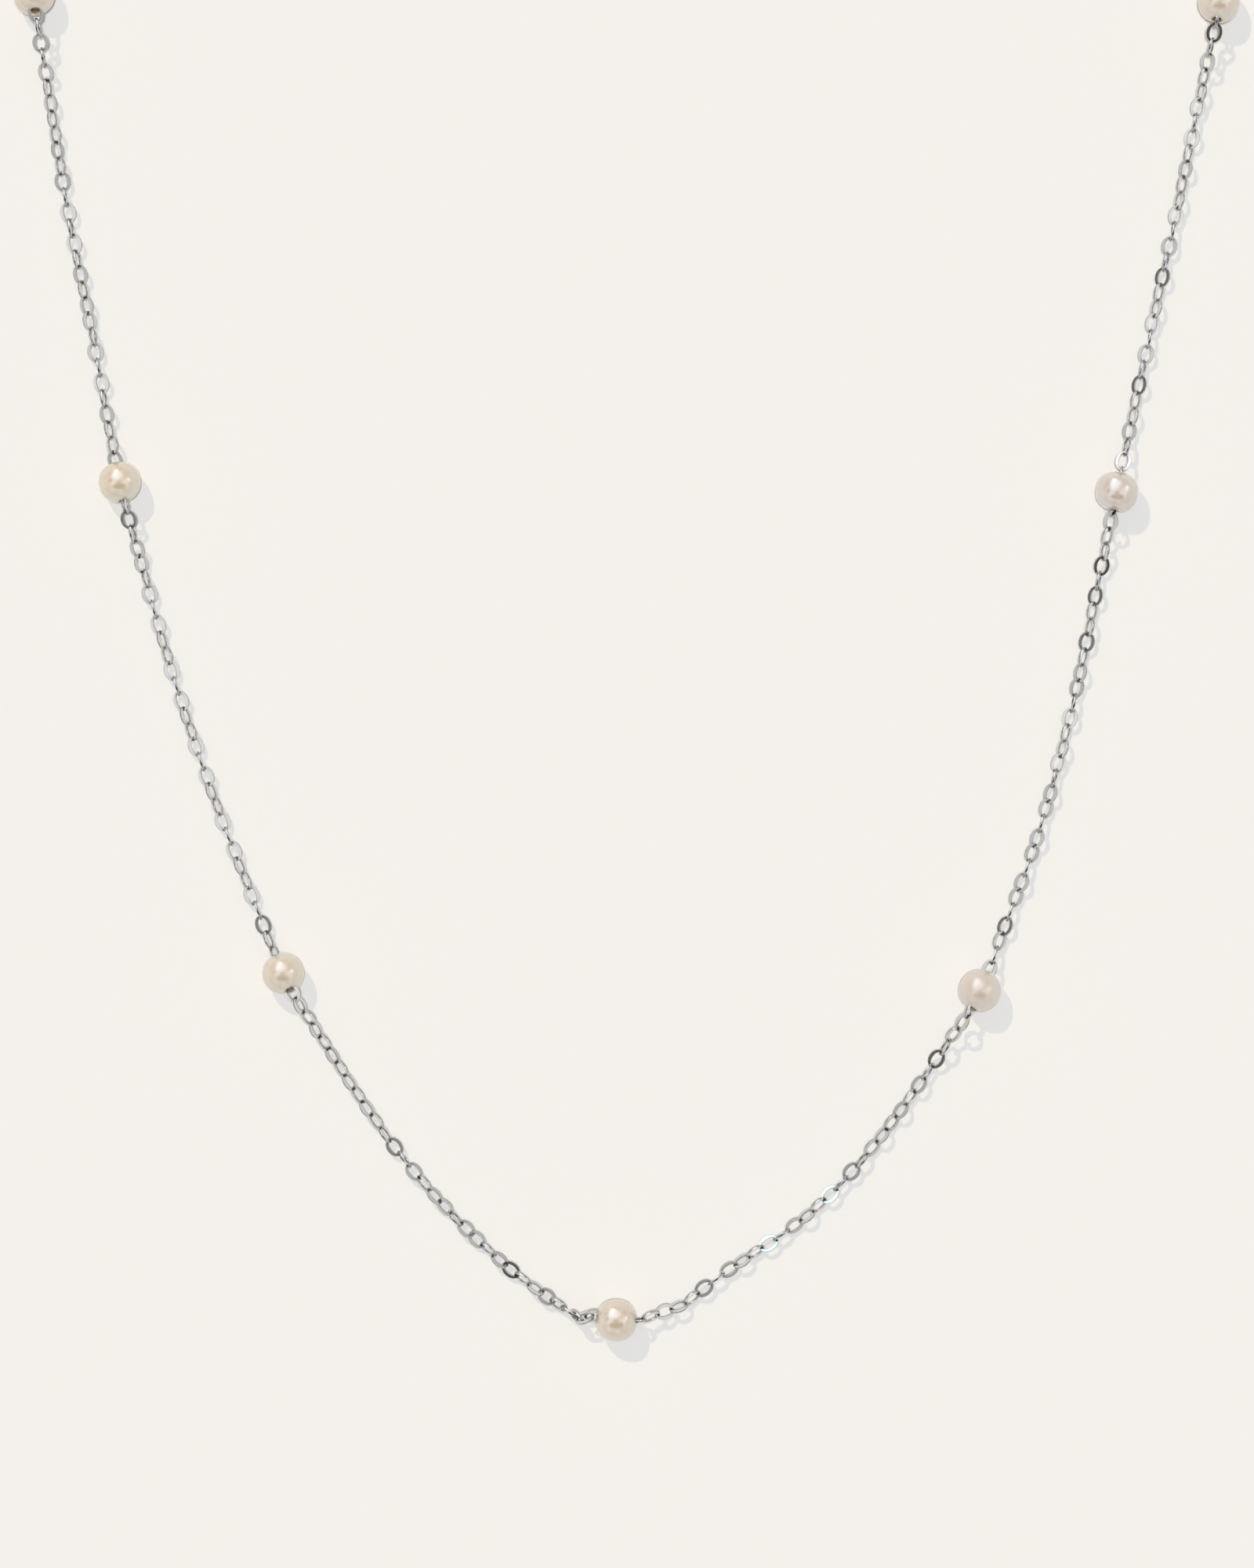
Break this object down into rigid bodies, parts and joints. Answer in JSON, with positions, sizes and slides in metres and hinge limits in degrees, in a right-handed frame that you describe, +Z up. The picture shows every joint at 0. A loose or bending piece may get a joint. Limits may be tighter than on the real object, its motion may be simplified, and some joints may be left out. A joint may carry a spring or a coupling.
{
  "type": "station necklace",
  "caption": "Station necklace of small round cream pearls threaded at even stations on a fine flat-link silver cable chain, closed by a barrel clasp.",
  "frame": {"origin": "on the surface that the necklace lies on, under the middle of its box", "axes": "+Z up from the surface, +Y along the loop from the centre pearl to the clasp, +X to the right as seen from above with the clasp at the top"},
  "size_m": [0.1147, 0.1816, 0.004],
  "materials": {
    "silver": "polished silver, with fine wear on the flat faces of the links",
    "pearl": "cream pearl nacre with a soft lustre and a faint pink and green orient"
  },
  "bodies": {
    "root": {"chain": "silver", "clasp": "silver", "pearl_1": "pearl", "pearl_2": "pearl", "pearl_3": "pearl", "pearl_4": "pearl", "pearl_5": "pearl", "pearl_6": "pearl", "pearl_7": "pearl", "pearl_8": "pearl", "pearl_9": "pearl"}
  },
  "joints": []
}
